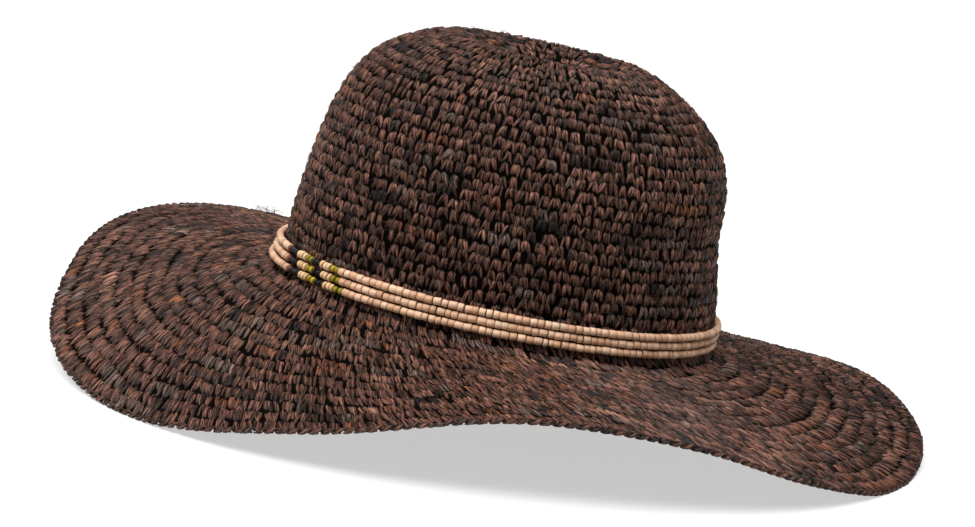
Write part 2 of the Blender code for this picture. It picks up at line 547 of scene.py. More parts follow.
@dataclass(frozen=True)
class HatForm:
    """The middle surface of the hat's wall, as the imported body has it, in metres."""

    head_length: float = 0.203
    head_width: float = 0.169
    fabric: float = 0.003
    crown_height: float = 0.1245
    crown_lean: float = math.radians(5)
    brim_reach: float = 0.1045
    seat_height: float = 0.042
    wave_height: float = 0.0523
    corner_radius: float = 0.008
    brim_bend: float = 1.25
    edge_flat: float = 0.0012

    @property
    def half_length(self) -> float:
        """Half the base oval's length, to the middle of the wall."""
        return (self.head_length + self.fabric) / 2

    @property
    def half_width(self) -> float:
        """Half the base oval's width, to the middle of the wall."""
        return (self.head_width + self.fabric) / 2

    def edge_height(self, angle: np.ndarray) -> np.ndarray:
        """Height of the brim's edge: a smooth closed curve through the folds, never under 0."""
        turns = [fold.angle + turn for turn in (-360, 0, 360) for fold in BRIM_FOLDS]
        shares = [fold.height for fold in BRIM_FOLDS] * 3
        wrapped = (np.degrees(angle) + 180) % 360 - 180
        return np.maximum(smooth_through(turns, shares, wrapped), 0) * self.wave_height

    def crown(self, along: np.ndarray, angle: np.ndarray) -> np.ndarray:
        """A point of the crown's wall: an oval with unlike ends at each height, leaned to +X.

        Args:
            along: 0 at the middle of the tip, 1 at the base.
            angle: plan angle in radians.

        Returns:
            Points, with x, y and z in the last axis.
        """
        sides = np.array([s.sides for s in CROWN_SECTIONS]) * self.half_width
        heights = np.array([s.height for s in CROWN_SECTIONS]) * self.crown_height
        places = run_length(np.stack([sides, heights], axis=1))
        places = places / places[-1]
        height, minus_x, plus_x, side = (
            smooth_through(places, [getattr(s, name) for s in CROWN_SECTIONS], along)
            for name in Section._fields
        )
        cosine, sine = np.cos(angle), np.sin(angle)
        share_x = (plus_x + minus_x) / 2 * cosine + (plus_x - minus_x) / 2 * cosine**2
        x = self.half_length * share_x
        y = self.half_width * side * sine
        z = self.crown_height * height + 0 * x
        lean_cos, lean_sin = math.cos(self.crown_lean), math.sin(self.crown_lean)
        leaned = [x * lean_cos + z * lean_sin, y, z * lean_cos - x * lean_sin + self.seat_height]
        return np.stack(leaned, axis=-1)

    def brim(self, out: np.ndarray, angle: np.ndarray) -> np.ndarray:
        """A point of the brim: from the crown's base to the waved edge, bending down late.

        Args:
            out: 0 at the crown, 1 at the edge.
            angle: plan angle in radians.

        Returns:
            Points, with x, y and z in the last axis.
        """
        out, angle = np.broadcast_arrays(out, angle)
        base = self.crown(np.ones_like(angle), angle)
        edge_x = (self.half_length + self.brim_reach) * np.cos(angle)
        edge_y = (self.half_width + self.brim_reach) * np.sin(angle)
        edge_z = self.edge_height(angle) + self.fabric / 2 - self.edge_flat
        edge = np.stack([edge_x, edge_y, edge_z], axis=-1)
        bend = np.stack([out, out, out**self.brim_bend], axis=-1)
        return base + (edge - base) * bend

    def corner_start(self) -> float:
        """Where along the crown the rounded corner to the brim begins, taken at the side."""
        lower = np.linspace(1, 0.5, 101)
        wall = self.crown(lower, np.full_like(lower, math.pi / 2))
        return float(np.interp(self.corner_radius, run_length(wall), lower))

    def corner(self, share: np.ndarray, angle: np.ndarray) -> np.ndarray:
        """A point of the rounded corner: a quadratic curve from the crown's wall to the brim.

        Args:
            share: 0 on the wall, 1 on the brim.
            angle: plan angle in radians.

        Returns:
            Points, with x, y and z in the last axis.
        """
        share, angle = np.broadcast_arrays(share, angle)
        wall = self.crown(np.full_like(angle, self.corner_start()), angle)
        middle = self.crown(np.ones_like(angle), angle)
        brim = self.brim(np.full_like(angle, self.corner_radius / self.brim_reach), angle)
        s = share[..., None]
        return (1 - s) ** 2 * wall + 2 * s * (1 - s) * middle + s**2 * brim


class FabricSurface:
    """The hat's middle surface as a fine grid that can be read at any distance and plan angle.

    A distance is the way from the middle of the tip along the profile, averaged round the hat.
    """

    COLUMNS = 720
    CROWN_ROWS = 180
    CORNER_ROWS = 16
    BRIM_ROWS = 110

    def __init__(self, form: HatForm) -> None:
        """Lays the grid: crown, corner and brim rows one after the other."""
        self.form = form
        angle = np.linspace(0, TURN, self.COLUMNS, endpoint=False)[None, :]
        crown = np.linspace(0, form.corner_start(), self.CROWN_ROWS)[:, None]
        corner = np.linspace(0, 1, self.CORNER_ROWS + 2)[1:-1, None]
        brim = np.linspace(form.corner_radius / form.brim_reach, 1, self.BRIM_ROWS)[:, None]
        self.points = np.concatenate(
            [form.crown(crown, angle), form.corner(corner, angle), form.brim(brim, angle)]
        )
        down = np.gradient(self.points, axis=0)
        around = np.roll(self.points, -1, axis=1) - np.roll(self.points, 1, axis=1)
        self.normals = normalised(np.cross(down, around))
        self.normals[0] = self.normals[1].mean(axis=0)
        steps = np.linalg.norm(np.diff(self.points, axis=0), axis=2).mean(axis=1)
        self.distances = np.concatenate([[0], np.cumsum(steps)])
        self.length = float(self.distances[-1])
        self.crown_length = float(self.distances[self.CROWN_ROWS - 1])

    def _read(self, table: np.ndarray, distance: np.ndarray, angle: np.ndarray) -> np.ndarray:
        """Reads a table of the grid between its four nearest entries."""
        distance, angle = np.broadcast_arrays(distance, angle)
        row = np.interp(distance, self.distances, np.arange(len(self.distances)))
        column = (angle / TURN % 1) * self.COLUMNS
        r = np.clip(row.astype(int), 0, len(table) - 2)
        c = column.astype(int) % self.COLUMNS
        next_c = (c + 1) % self.COLUMNS
        down = (row - r)[..., None]
        across = (column - column.astype(int))[..., None]
        upper = table[r, c] * (1 - across) + table[r, next_c] * across
        lower = table[r + 1, c] * (1 - across) + table[r + 1, next_c] * across
        return upper * (1 - down) + lower * down

    def point(self, distance: np.ndarray, angle: np.ndarray) -> np.ndarray:
        """Points of the middle surface."""
        return self._read(self.points, distance, angle)

    def normal(self, distance: np.ndarray, angle: np.ndarray) -> np.ndarray:
        """Directions out of the hat: away from the head, and up over the brim."""
        return normalised(self._read(self.normals, distance, angle))

    def ring(self, distance: float) -> tuple[np.ndarray, np.ndarray, float]:
        """One round of the surface.

        Args:
            distance: where the round lies.

        Returns:
            Plan angles, the share of the round's length at each, and the length.
        """
        angles = np.linspace(0, TURN, self.COLUMNS + 1)
        lengths = run_length(self.point(np.full_like(angles, distance), angles))
        return angles, lengths / lengths[-1], float(lengths[-1])


@dataclass
class StrandSet:
    """Closed flattened strands of one sort, all with as many rings and sides.

    path, across and up are arrays of strand, ring and x, y, z; the extents and the shade are arrays
    of strand and ring, and the shade is painted shade that darkens each strand's ends; colour has
    one row for each strand.
    """

    path: np.ndarray
    across: np.ndarray
    up: np.ndarray
    half_width: np.ndarray
    above: np.ndarray
    below: np.ndarray
    # painted shade: the share of each strand's colour kept at each ring
    shade: np.ndarray
    colour: np.ndarray
    offset: np.ndarray

    def painted(self, sides: int, painted_flank_shade: float) -> np.ndarray:
        """The colour of every vertex, with painted shade: the flanks of a strand are painted darker
        than its back, and the shade along the strand darkens its ends.

        Args:
            sides: how many corners a section has.
            painted_flank_shade: the share of the colour that is left on the flanks, a painted shade
                where a strand dives beside the next.

        Returns:
            Linear colours, one row for each vertex.
        """
        turn = np.arange(sides) / sides * TURN
        flank = painted_flank_shade + (1 - painted_flank_shade) * np.abs(np.sin(turn))
        full = self.colour[:, None, None, :] * self.shade[:, :, None, None] * flank[:, None]
        return full.reshape(-1, 3)

    @classmethod
    def joined(cls, sets: Sequence["StrandSet"]) -> "StrandSet":
        """Several sets as one.

        Args:
            sets: the sets, all with as many rings.

        Returns:
            One set with all their strands, in order.
        """
        names = [part.name for part in fields(cls)]
        return cls(*(np.concatenate([getattr(one, name) for one in sets]) for name in names))


def sweep(strands: StrandSet, sides: int) -> tuple[np.ndarray, list[np.ndarray], np.ndarray]:
    """Carries an oval section along each strand.

    At each ring a point lies at cos(turn) half widths across and sin(turn) heights up or down. The
    first ring and the last one are closed with a cap.

    Args:
        strands: the strands.
        sides: how many corners a section has.

    Returns:
        Vertex places, the face arrays, and the UV of every face corner: x runs round the section
        and y along the strand.
    """
    count, rings = strands.path.shape[:2]
    turn = np.arange(sides) / sides * TURN
    height = np.where(
        np.sin(turn) >= 0, strands.above[..., None], strands.below[..., None]
    ) * np.sin(turn)
    width = strands.half_width[..., None] * np.cos(turn)
    points = (
        strands.path[:, :, None]
        + strands.across[:, :, None] * width[..., None]
        + strands.up[:, :, None] * height[..., None]
    )
    index = np.arange(count * rings * sides).reshape(count, rings, sides)
    walls = ring_quads(index[:, :-1], index[:, 1:])
    first_caps = index[:, 0]
    last_caps = index[:, -1, ::-1]
    side = np.arange(sides) / sides
    step = 1 / sides
    ring = np.arange(rings - 1)[:, None] / (rings - 1)
    next_ring = ring + 1 / (rings - 1)
    wall_uv = np.stack(
        [
            np.stack(np.broadcast_arrays(side, ring), axis=-1),
            np.stack(np.broadcast_arrays(side, next_ring), axis=-1),
            np.stack(np.broadcast_arrays(side + step, next_ring), axis=-1),
            np.stack(np.broadcast_arrays(side + step, ring), axis=-1),
        ],
        axis=2,
    )
    shift = strands.offset[:, None, None, None, :]
    walls_uv = (wall_uv[None] + shift).reshape(-1, 2)
    cap_uv = np.stack([side, 0 * side], axis=-1)[None] + strands.offset[:, None, :]
    caps_uv = np.concatenate([cap_uv.reshape(-1, 2), (cap_uv + (0, 1)).reshape(-1, 2)])
    faces = [walls, np.concatenate([first_caps, last_caps])]
    return points.reshape(-1, 3), faces, np.concatenate([walls_uv, caps_uv])


def framed(path: np.ndarray, normal: np.ndarray, roll: np.ndarray) -> tuple[np.ndarray, np.ndarray]:
    """The section's two directions along each strand.

    across is the strand's direction crossed with the surface's, and both are then rolled about the
    strand by an angle.

    Args:
        path: strand, ring and x, y, z.
        normal: the surface's direction at each ring.
        roll: one angle in radians for each strand.

    Returns:
        across and up, unit vectors.
    """
    axis = normalised(np.gradient(path, axis=1))
    across = normalised(np.cross(axis, normal))
    up = normalised(np.cross(across, axis))
    cosine = np.cos(roll)[:, None, None]
    sine = np.sin(roll)[:, None, None]
    return across * cosine + up * sine, up * cosine - across * sine


class YarnTone(NamedTuple):
    """A colour of the dyed yarn: sRGB hex, how often it comes, and how many stitches it lasts."""

    colour: str
    weight: float
    mean_run: float


YARN_TONES = (
    YarnTone("604034", 0.38, 2.5),
    YarnTone("54372c", 0.28, 2.5),
    YarnTone("6a493b", 0.14, 2),
    YarnTone("623c2c", 0.07, 2),
    YarnTone("58453d", 0.06, 1.6),
    YarnTone("67402a", 0.01, 1.6),
    YarnTone("34211b", 0.045, 1.5),
    YarnTone("1c110e", 0.015, 1.2),
)


class Scatter(NamedTuple):
    """How unevenly a hand-made size or tone comes out: a bell curve about 1, cut at both ends."""

    spread: float
    lowest: float
    highest: float

    def draw(self, rng: np.random.Generator, shape: int | tuple[int, ...]) -> np.ndarray:
        """Draws random factors.

        Args:
            rng: the random numbers.
            shape: the shape of the array.

        Returns:
            The factors.
        """
        return np.clip(rng.normal(1.0, self.spread, shape), self.lowest, self.highest)


YARN_BRIGHTNESS = Scatter(0.2, 0.5, 1.7)
STITCH_HEIGHT = Scatter(0.24, 0.5, 1.5)
STITCH_WIDTH = Scatter(0.2, 0.6, 1.5)
LEG_TONE = Scatter(0.17, 0.5, 1.6)
CORD_BULK = Scatter(0.1, 0.75, 1.3)
TUBE_LENGTH = Scatter(0.14, 0.68, 1.35)
BEAD_WIDTH = Scatter(0.025, 0.93, 1.04)
BEAD_TONE = Scatter(0.05, 0.8, 1.15)


def yarn_colours(count: int, rng: np.random.Generator) -> np.ndarray:
    """Colours of stitches in the order in which they were worked.

    The yarn's tones follow one another in runs of random length, and each stitch then varies a
    little in brightness.

    Args:
        count: how many stitches.
        rng: the random numbers.

    Returns:
        Linear colours, one row for each stitch.
    """
    palette = np.array([linear(tone.colour) for tone in YARN_TONES])
    shares = np.array([tone.weight / tone.mean_run for tone in YARN_TONES])
    picks = rng.choice(len(YARN_TONES), size=count, p=shares / shares.sum())
    means = np.array([tone.mean_run for tone in YARN_TONES])[picks]
    runs = np.maximum(rng.geometric(1 / means), 1)
    tones = np.repeat(picks, runs)[:count]
    return palette[tones] * YARN_BRIGHTNESS.draw(rng, count)[:, None]


class StitchStyle(NamedTuple):
    """How one stitch lies: its size in metres, and its legs as shares of its width.

    An outer leg starts at foot_in from the stitch's middle, ends at foot_out, and leans by slant.
    leg_stray is how far a leg strays down the profile, as a share of the round's height.
    painted_end_shade is the share of its colour that a leg keeps where it dives into the fabric:
    painted shade in the crevices between stitches and rounds.
    """

    pitch: float
    round_height: float
    leg_half_width: float
    foot_in: float
    foot_out: float
    slant: float
    overlap: float
    leg_stray: float
    painted_end_shade: float


# The last number of each style is its painted shade: the share of colour kept at the legs' ends.
CROWN_STITCH = StitchStyle(5.1 * MM, 5.3 * MM, 1.05 * MM, 0.13, 0.41, 0.06, 0.30, 0.05, 0.06)
BRIM_STITCH = StitchStyle(5.2 * MM, 7.7 * MM, 1.12 * MM, 0.30, 0.34, 0.95, 0.25, 0.07, 0.26)

# Painted shade on a strand's flanks, as a share of its colour.
PAINTED_FLANK_SHADE = 0.45
LEG_SIDES = (-1.0, 0.0, 1.0)
LEG_REACHES = (1.0, 0.82, 1.0)
STITCH_FLOOR = 0.05 * MM
CORE_FLOOR = 0.2 * MM
OFFSET_RANGE = 50


def stitch_style(share: float) -> StitchStyle:
    """The style part of the way from the crown's to the brim's.

    Args:
        share: 0 for the crown's, 1 for the brim's.

    Returns:
        The style.
    """
    return StitchStyle(*(c + (b - c) * share for c, b in zip(CROWN_STITCH, BRIM_STITCH)))


@dataclass(frozen=True)
class HandSpread:
    """How far the maker's hand strays: widths of bell curves, as shares of a stitch's own size.

    leg_roll alone is an angle in radians.
    """

    stitch_aside: float = 0.08
    leg_reach: float = 0.10
    stitch_sag: float = 0.05
    foot_spread: float = 0.28
    stitch_slant: float = 0.12
    leg_slant: float = 0.08
    leg_shift: float = 0.04
    leg_bow: float = 0.06
    leg_roll: float = 0.42


@dataclass
class CrochetFabric:
    """The crocheted wall: rounds of three-legged stitches over a thin core in painted shadow."""

    surface: FabricSurface
    finish: bpy.types.Material
    core_finish: bpy.types.Material
    seed: int = 7
    rings: int = 5
    sides: int = 5
    crest: float = 1.70 * MM
    highest_crest: float = 1.95 * MM
    inner_crest: float = 1.35 * MM
    buried: float = 0.10 * MM
    core_half: float = 0.45 * MM
    core_margin: float = 2.5 * MM
    core_rows: int = 70
    core_columns: int = 140
    turn_over: float = 22 * MM
    first_round: float = 3.0 * MM
    early_crest: float = 0.66
    wave_depth: float = 0.05
    wave_cycles: tuple[int, int] = (3, 23)
    waves: int = 4
    widest_leg: float = 0.30
    end_width: float = 0.5
    hump_fullness: float = 0.7
    width_fullness: float = 0.6
    fewest_stitches: int = 6
    hand: HandSpread = HandSpread()
    piece_limit: int = 190_000
    piece_names: tuple[str, ...] = (
        "crown_tip_stitches",
        "crown_wall_stitches",
        "crown_foot_stitches",
        "brim_inner_stitches",
        "brim_middle_stitches",
        "brim_outer_stitches",
    )
    pieces: list[bpy.types.Object] = field(default_factory=list)

    def rounds(self) -> list[tuple[float, float, float]]:
        """Where each round lies.

        Returns:
            Start and height of each round, and how much of the brim's style it has. The heights
            are stretched evenly so that the last round ends at the edge.
        """
        found = []
        start = self.first_round
        while start < self.surface.length:
            past = start - self.surface.crown_length
            share = float(np.clip(0.5 + past / self.turn_over, 0, 1))
            height = stitch_style(share).round_height
            found.append((start, height, share))
            start += height
        stretch = (self.surface.length - self.first_round) / (start - self.first_round)
        return [
            (self.first_round + (place - self.first_round) * stretch, height * stretch, share)
            for place, height, share in found
        ]

    def round_strands(
        self, start: float, height: float, share: float, rng: np.random.Generator
    ) -> StrandSet:
        """The legs of one round of stitches.

        A leg runs down the profile over its round's height and a little into the next round,
        while it moves sideways from the stitch's middle and leans. It rises out of the core,
        crests and dives in again as a power of half a sine.

        Args:
            start: the round's first distance.
            height: the round's height.
            share: 0 for the crown's style, 1 for the brim's.
            rng: the random numbers.

        Returns:
            The strands.
        """
        style = stitch_style(share)
        angles, shares, length = self.surface.ring(start + height / 2)
        count = max(self.fewest_stitches, round(length / style.pitch))
        pitch = length / count
        legs_each = len(LEG_SIDES)
        legs = legs_each * count

        def by_stitch(spread: float) -> np.ndarray:
            """One random shift for each stitch, the same for all its legs."""
            return np.repeat(rng.normal(0, spread, count), legs_each)[:, None]

        def by_leg(spread: float) -> np.ndarray:
            """One random shift for each leg."""
            return rng.normal(0, spread, (legs, 1))

        hand = self.hand
        side = np.tile(LEG_SIDES, count)[:, None]
        middle = np.repeat(np.arange(count) + rng.random(), legs_each)[:, None]
        middle = middle + by_stitch(hand.stitch_aside)
        t = np.linspace(0, 1, self.rings)[None, :]
        reach = (1 + style.overlap + by_leg(hand.leg_reach)) * np.tile(LEG_REACHES, count)[:, None]
        sag = by_stitch(hand.stitch_sag)
        sag = sag + self.row_wave(middle / count, rng)
        down = sag + by_leg(style.leg_stray) - style.overlap / 2 + t * reach
        foot_out = style.foot_out * rng.normal(1.0, hand.foot_spread, (legs, 1))
        slant = style.slant + by_stitch(hand.stitch_slant)
        slant = slant + by_leg(hand.leg_slant)
        wander = by_leg(hand.leg_shift) + by_leg(hand.leg_bow) * np.sin(math.pi * t)
        spread = style.foot_in + (foot_out - style.foot_in) * t
        at_share = (middle + side * spread + slant * (t - 0.5) + wander) / count
        angle = np.interp(at_share % 1, shares, angles)
        distance = np.clip(start + height * down, 0, self.surface.length)
        normal = self.surface.normal(distance, angle)
        base = self.surface.point(distance, angle)
        bow = np.sin(math.pi * t**self.early_crest)
        hump = bow**self.hump_fullness
        proud = STITCH_HEIGHT.draw(rng, (legs, 1))
        above = self.buried + np.minimum(self.crest * proud, self.highest_crest) * hump
        below = self.buried + self.inner_crest * hump * proud
        half = style.leg_half_width * STITCH_WIDTH.draw(rng, (legs, 1))
        half = np.minimum(half, self.widest_leg * pitch)
        half_width = half * (self.end_width + (1 - self.end_width) * bow**self.width_fullness)
        across, up = framed(base, normal, rng.normal(0, hand.leg_roll, legs))
        colour = np.repeat(yarn_colours(count, rng), legs_each, axis=0)
        colour = colour * LEG_TONE.draw(rng, (legs, 1))
        offset = rng.random((legs, 2)) * OFFSET_RANGE
        # Painted shade: each leg's colour darkens towards both ends, where it dives into the fabric.
        shade = style.painted_end_shade + (1 - style.painted_end_shade) * hump * np.ones((legs, 1))
        return StrandSet(base, across, up, half_width, above, below, shade, colour, offset)

    def row_wave(self, share: np.ndarray, rng: np.random.Generator) -> np.ndarray:
        """Slow uneven drift of a round up and down: the sum of a few sines with random phases.

        Args:
            share: places along the round, 0 to 1.
            rng: the random numbers.

        Returns:
            The drift as a share of the round's height, in the shape of share.
        """
        phase = rng.random(self.waves) * TURN
        cycles = rng.integers(*self.wave_cycles, self.waves)
        waves = np.sin(TURN * share[..., None] * cycles + phase)
        return self.wave_depth * waves.sum(axis=-1)

    def build(self) -> None:
        """Builds the core and the rounds, and shares the rounds out over the named pieces."""
        rng = np.random.default_rng(self.seed)
        sets = [self.round_strands(*entry, rng) for entry in self.rounds()]
        strand_triangles = 2 * self.sides * (self.rings - 1) + 2 * (self.sides - 2)
        totals = np.cumsum([len(one.path) for one in sets])
        bins = totals / totals[-1] * len(self.piece_names)
        for number, name in enumerate(self.piece_names):
            joined = StrandSet.joined(
                [one for one, place in zip(sets, bins) if number < place <= number + 1]
            )
            if len(joined.path) * strand_triangles > self.piece_limit:
                log.warning("%s is over its share of triangles", name)
            self.pieces.append(strand_piece(name, joined, self.sides, self.finish))
        self.pieces.append(self.core())

    def core(self) -> bpy.types.Object:
        """A thin closed shell along the middle surface, from the tip almost to the edge.

        The outer face is the surface's rows moved out, the inner face the same rows moved in and
        read back to the tip, and both ends meet in one point on the tip.
        """
        rows = np.linspace(0, self.surface.length - self.core_margin, self.core_rows)[1:]
        angles = np.linspace(0, TURN, self.core_columns, endpoint=False)
        distance, angle = np.meshgrid(rows, angles, indexing="ij")
        middle = self.surface.point(distance, angle)
        normal = self.surface.normal(distance, angle)
        sheet = np.concatenate(
            [middle + normal * self.core_half, (middle - normal * self.core_half)[::-1]]
        )
        count, columns = sheet.shape[:2]
        index = np.arange(count * columns).reshape(count, columns)
        quads = ring_quads(index[:-1], index[1:])
        tip_normal = self.surface.normals[0].mean(axis=0)
        tip = self.surface.points[0].mean(axis=0)
        tips = np.stack([tip + tip_normal * self.core_half, tip - tip_normal * self.core_half])
        outer, inner = count * columns, count * columns + 1
        first, last = index[0], index[-1]
        fan_out = np.stack([np.full(columns, outer), first, np.roll(first, -1)], axis=-1)
        fan_in = np.stack([np.full(columns, inner), np.roll(last, -1), last], axis=-1)
        points = np.concatenate([sheet.reshape(-1, 3), tips])
        points[:, 2] = np.maximum(points[:, 2], CORE_FLOOR)
        piece = mesh_piece(
            "crochet_core", points, [quads, np.concatenate([fan_out, fan_in])], self.core_finish
        )
        return piece


def strand_piece(
    name: str, strands: StrandSet, sides: int, finish: bpy.types.Material
) -> bpy.types.Object:
    """Makes one piece of many strands, kept just over the resting surface.

    Args:
        name: the piece's name.
        strands: the strands.
        sides: how many corners a section has.
        finish: the material.

    Returns:
        The piece.
    """
    points, faces, corners = sweep(strands, sides)
    points[:, 2] = np.maximum(points[:, 2], STITCH_FLOOR)
    piece = mesh_piece(name, points, faces, finish)
    paint_points(piece, "fibre", strands.painted(sides, PAINTED_FLANK_SHADE))
    store_uv(piece, "strand", corners)
    return piece


@dataclass
class EdgeRound:
    """The last round, worked back along the edge, so that its strands lie over it like a cord."""

    surface: FabricSurface
    finish: bpy.types.Material
    seed: int = 11
    pitch: float = 5.2 * MM
    cord_radius: float = 0.95 * MM
    strand_half_width: float = 0.95 * MM
    strand_half_height: float = 0.65 * MM
    set_back: float = 1.2 * MM
    stitches_long: float = 1.25
    first_turn: float = math.radians(-95)
    turn_run: float = math.radians(200)
    inner_step: float = 2 * MM
    start_spread: float = 0.05
    roll_spread: float = 0.15
    fullness: float = 0.6
    end_size: float = 0.45
    # Painted shade: the share of colour a strand keeps at its ends.
    painted_end_shade: float = 0.4
    rings: int = 7
    sides: int = 6

    def build(self) -> bpy.types.Object:
        """Two strands for each stitch, each a part of a helix about the edge's own line."""
        rng = np.random.default_rng(self.seed)
        line = self.surface.length - self.set_back
        angles, shares, length = self.surface.ring(line)
        count = round(length / self.pitch)
        strands = 2 * count
        t = np.linspace(0, 1, self.rings)[None, :]
        half_turn = np.tile([0.0, math.pi], count)[:, None]
        start = np.repeat(np.arange(count), 2)[:, None]
        start = start + rng.normal(0, self.start_spread, (strands, 1))
        place = (start + np.tile([0.0, 0.5], count)[:, None] + t * self.stitches_long) / count
        angle = np.interp(place % 1, shares, angles)
        centre = self.surface.point(np.full_like(angle, line), angle)
        normal = self.surface.normal(np.full_like(angle, line), angle)
        inner = self.surface.point(np.full_like(angle, line - self.inner_step), angle)
        outward = normalised(centre - inner)
        turn = self.first_turn + self.turn_run * t + half_turn
        arm = outward * np.cos(turn)[..., None] + normal * np.sin(turn)[..., None]
        path = centre + arm * self.cord_radius
        across, up = framed(path, arm, rng.normal(0, self.roll_spread, strands))
        bow = np.sin(math.pi * t) ** self.fullness
        swell = self.end_size + (1 - self.end_size) * bow
        bulk = CORD_BULK.draw(rng, (strands, 1))
        half_width = self.strand_half_width * swell * bulk
        half_height = self.strand_half_height * swell * bulk
        colour = np.repeat(yarn_colours(count, rng), 2, axis=0)
        offset = rng.random((strands, 2)) * OFFSET_RANGE
        # Painted shade: each strand's colour darkens towards its ends.
        shade = np.broadcast_to(self.painted_end_shade + (1 - self.painted_end_shade) * bow, half_width.shape)
        joined = StrandSet(
            path, across, up, half_width, half_height, half_height, shade, colour, offset
        )
        return strand_piece("brim_edge_round", joined, self.sides, self.finish)


@dataclass
class LooseFibres:
    """Fine raffia fibres that have come loose and stand off the stitches, with one small tuft."""

    surface: FabricSurface
    finish: bpy.types.Material
    seed: int = 23
    count: int = 1100
    rings: int = 6
    sides: int = 3
    shortest: float = 3 * MM
    longest: float = 15 * MM
    mostly_short: float = 2.2
    mostly_outer: float = 0.6
    thickness: float = 0.13 * MM
    thickness_range: tuple[float, float] = (0.6, 1.4)
    taper: float = 0.6
    rises: tuple[float, float] = (0.2 * MM, 1.6 * MM)
    tip_margin: float = 10 * MM
    edge_margin: float = 8 * MM
    tip_gap: float = 2 * MM
    edge_gap: float = 1 * MM
    arch_part: float = 0.9
    tuft_count: int = 26
    tuft_angle: float = math.radians(127.5)
    tuft_out: float = 110 * MM
    tuft_width: float = 1.6 * MM
    tuft_turn: float = 0.018
    tuft_lengths: tuple[float, float] = (4 * MM, 9 * MM)
    tuft_rises: tuple[float, float] = (1 * MM, 4 * MM)
    bend: float = 0.9
    least_radius: float = 8 * MM
    least_lift: float = 1.3 * MM
    flatness: float = 0.7
    tones: tuple[str, ...] = ("8a6857", "6b4636", "4c342b", "8d6a4a", "2a2226")

    def build(self) -> bpy.types.Object:
        """Each fibre is an arc over the surface: it runs straight in plan and rises as a sine."""
        rng = np.random.default_rng(self.seed)
        total = self.count + self.tuft_count
        share = rng.random(total) ** self.mostly_outer
        span = self.surface.length - self.tip_margin - self.edge_margin
        distance = self.tip_margin + share * span
        angle = rng.random(total) * TURN
        longer = rng.random(total) ** self.mostly_short
        length = self.shortest + (self.longest - self.shortest) * longer
        rise = rng.uniform(*self.rises, total)
        heading = rng.random(total) * TURN
        in_tuft = np.arange(total) >= self.count
        distance[in_tuft] = self.surface.crown_length + self.tuft_out + rng.normal(
            0, self.tuft_width, self.tuft_count
        )
        angle[in_tuft] = self.tuft_angle + rng.normal(0, self.tuft_turn, self.tuft_count)
        length[in_tuft] = rng.uniform(*self.tuft_lengths, self.tuft_count)
        rise[in_tuft] = rng.uniform(*self.tuft_rises, self.tuft_count)
        t = np.linspace(0, 1, self.rings)[None, :]
        start = self.surface.point(distance, angle)
        radius = np.maximum(np.hypot(start[:, 0], start[:, 1]), self.least_radius)
        bend = rng.normal(0, self.bend, total)[:, None] * t
        run = length[:, None] * t
        place = distance[:, None] + run * np.cos(heading[:, None] + bend)
        place = np.clip(place, self.tip_gap, self.surface.length - self.edge_gap)
        turned = angle[:, None] + run * np.sin(heading[:, None] + bend) / radius[:, None]
        normal = self.surface.normal(place, turned)
        lift = self.least_lift + rise[:, None] * np.sin(math.pi * self.arch_part * t)
        path = self.surface.point(place, turned) + normal * lift[..., None]
        across, up = framed(path, normal, np.zeros(total))
        uneven = rng.uniform(*self.thickness_range, (total, 1))
        thin = self.thickness * (1 - self.taper * t) * uneven
        palette = np.array([linear(tone) for tone in self.tones])
        colour = palette[rng.integers(0, len(palette), total)]
        offset = rng.random((total, 2)) * OFFSET_RANGE
        flat = thin * self.flatness
        joined = StrandSet(path, across, up, thin, flat, flat, np.ones_like(thin), colour, offset)
        return strand_piece("loose_fibres", joined, self.sides, self.finish)


class BeadShape(Enum):
    """A bead's profile: place along the bead and radius, both as shares, hole edge to hole edge."""

    TUBE = ((0.0, 0.34), (0.01, 0.84), (0.09, 1.0), (0.91, 1.0), (0.99, 0.84), (1.0, 0.34))
    ROUND = ((0.0, 0.34), (0.10, 0.76), (0.34, 1.0), (0.66, 1.0), (0.90, 0.76), (1.0, 0.34))


class BeadKind(NamedTuple):
    """A kind of bead: its shape, colours, length and diameter in metres."""

    shape: BeadShape
    colours: tuple[str, ...]
    length: float
    diameter: float
    glass: bool


TUBE_BEAD = BeadKind(
    BeadShape.TUBE,
    ("caa284", "c49a7a", "cda788", "ba8f6f", "c89e7e", "b58868", "cfac8f"),
    3.5 * MM,
    3.5 * MM,
    False,
)
ROUND_BEAD = BeadKind(BeadShape.ROUND, ("d3a876", "cfa270", "d8b286"), 2.25 * MM, 3.6 * MM, False)
OLIVE_BEAD = BeadKind(BeadShape.ROUND, ("6f630a", "857610", "a08a12"), 2.6 * MM, 3.1 * MM, True)
BLACK_BEAD = BeadKind(BeadShape.ROUND, ("120b0b", "1a1112"), 1.95 * MM, 2.7 * MM, True)
RED_BEAD = BeadKind(BeadShape.ROUND, ("6e3a2d", "5f3226"), 2.4 * MM, 3.3 * MM, True)

ACCENT_BEADS = (
    (RED_BEAD, 1),
    (BLACK_BEAD, 4),
    (ROUND_BEAD, 3),
    (OLIVE_BEAD, 2),
    (BLACK_BEAD, 3),
    (ROUND_BEAD, 3),
    (OLIVE_BEAD, 2),
)


